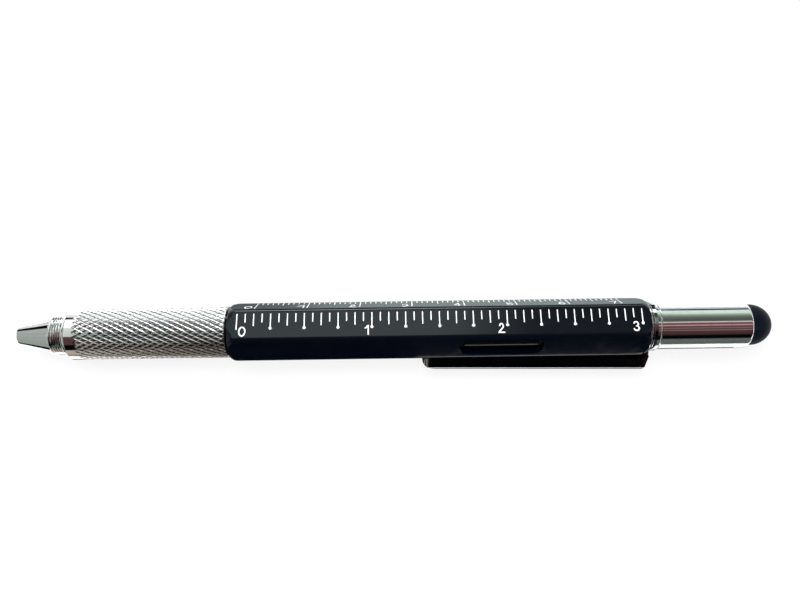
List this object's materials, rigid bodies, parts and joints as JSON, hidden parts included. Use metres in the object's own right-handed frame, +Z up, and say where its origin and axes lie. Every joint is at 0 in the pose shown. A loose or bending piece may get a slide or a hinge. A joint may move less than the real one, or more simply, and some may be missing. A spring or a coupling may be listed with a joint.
{
  "type": "multifunction pen",
  "caption": "Hexagonal-barrel ballpoint pen with knurled twist grip, printed rules, spirit level, pocket clip, stylus tip and a screwdriver bit under its cap.",
  "frame": {"origin": "centre of the pen's bounding box, at the height of the surface that it lies on", "axes": "+X along the pen from the writing tip to the stylus tip, +Z up from the surface that it lies on, the clip on the -Y side"},
  "size_m": [0.1454, 0.0138, 0.0106],
  "materials": {
    "chrome": "polished bright chrome plate",
    "black_anodised": "satin black anodised, scales printed in white",
    "black_nickel": "polished black nickel plate",
    "clear_acrylic": "clear polished tube",
    "level_fluid": "dark tinted level fluid",
    "black_rubber": "matt moulded rubber",
    "black_plastic": "moulded, matt",
    "white_plastic": "moulded acetal, natural white",
    "bright_steel": "drawn, bright",
    "tool_steel": "sandblasted grey tool steel",
    "brass": "turned brass"
  },
  "bodies": {
    "barrel_body": {"barrel": "black_anodised", "twist_guide": "white_plastic", "trim_washer": "chrome", "bit_holder": "chrome", "clip_ring": "black_nickel", "level_saddle": "black_plastic", "level_vial": "clear_acrylic", "level_plug": "black_plastic", "level_fluid": "level_fluid"},
    "grip_body": {"grip_sleeve": "chrome", "twist_cam": "white_plastic", "cam_snap_ring": "bright_steel"},
    "nose_body": {"nose_cone": "chrome"},
    "refill_body": {"refill_carrier": "black_plastic", "refill_tube": "bright_steel", "refill_tip": "brass", "refill_ball": "bright_steel"},
    "cap_body": {"cap_tube": "chrome", "cap_thread_insert": "black_plastic", "stylus_core": "black_plastic", "stylus_tip": "black_rubber"},
    "bit_body": {"screwdriver_bit": "tool_steel"},
    "clip_body": {"clip_blade": "black_nickel"}
  },
  "joints": [
    {"name": "grip_twist", "type": "hinge", "parent": "barrel_body", "child": "grip_body", "pos_m": [0, 0.00122, 0.00532], "axis": [1, 0, 0], "range_deg": [0, 180]},
    {"name": "refill_slide", "type": "slide", "parent": "barrel_body", "child": "refill_body", "axis": [-1, 0, 0], "range_m": [0, 0.005]},
    {"name": "nose_draw", "type": "slide", "parent": "grip_body", "child": "nose_body", "axis": [-1, 0, 0], "range_m": [0, 0.02]},
    {"name": "cap_draw", "type": "slide", "parent": "barrel_body", "child": "cap_body", "axis": [1, 0, 0], "range_m": [0, 0.04]},
    {"name": "bit_draw", "type": "slide", "parent": "barrel_body", "child": "bit_body", "axis": [1, 0, 0], "range_m": [0, 0.025]},
    {"name": "clip_flex", "type": "hinge", "parent": "barrel_body", "child": "clip_body", "pos_m": [0.04863, -0.00366, 0.00313], "axis": [0, -0.4084, 0.9128], "range_deg": [0, 4], "stiffness_Nm_per_rad": 4, "springref_deg": -2.86}
  ],
  "couplings": [
    {"joint": "refill_slide", "follows": "grip_twist", "m_per_rad": 0.0015915},
    {"joint": "bit_draw", "follows": "cap_draw", "ratio": 0.625}
  ]
}
